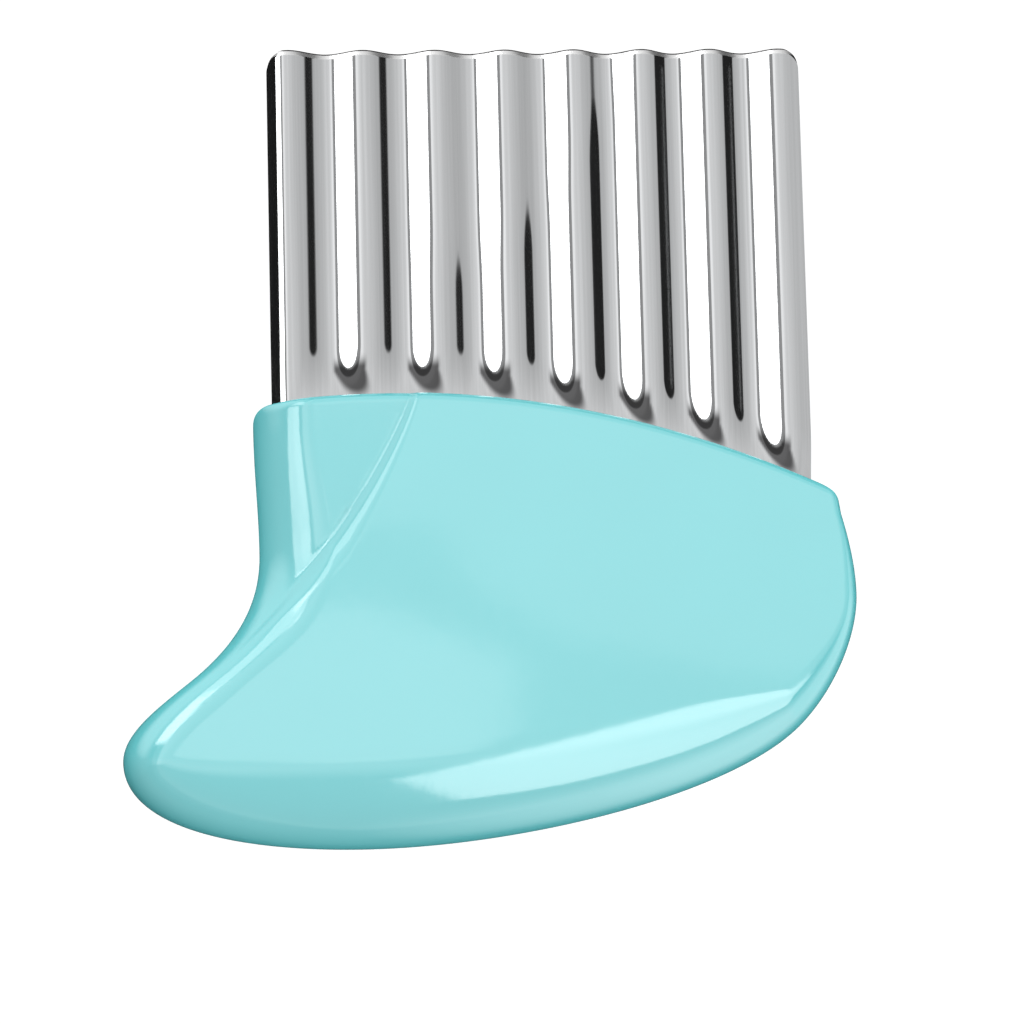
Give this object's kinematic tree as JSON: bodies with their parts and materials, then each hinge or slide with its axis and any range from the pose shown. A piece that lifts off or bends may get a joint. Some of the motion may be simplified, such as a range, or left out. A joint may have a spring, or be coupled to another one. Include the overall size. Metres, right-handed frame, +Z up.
{
  "type": "crinkle cutter",
  "caption": "Hand-held crinkle cutter: a corrugated steel blade with a wavy ground edge, held in a hollow two-shell palm handle with a finger hollow and a nose.",
  "frame": {"origin": "middle of the footprint, on the table the cutter lies on", "axes": "+X to the right of the front face (heel side), +Y from the palm towards the cutting edge, +Z up out of the front face"},
  "size_m": [0.1, 0.11, 0.0215],
  "materials": {
    "steel": "polished stainless sheet",
    "front_plastic": "glossy aqua moulding",
    "back_plastic": "glossy aqua moulding"
  },
  "bodies": {
    "root": {"blade": "steel", "front_shell": "front_plastic", "back_shell": "back_plastic"}
  },
  "joints": []
}
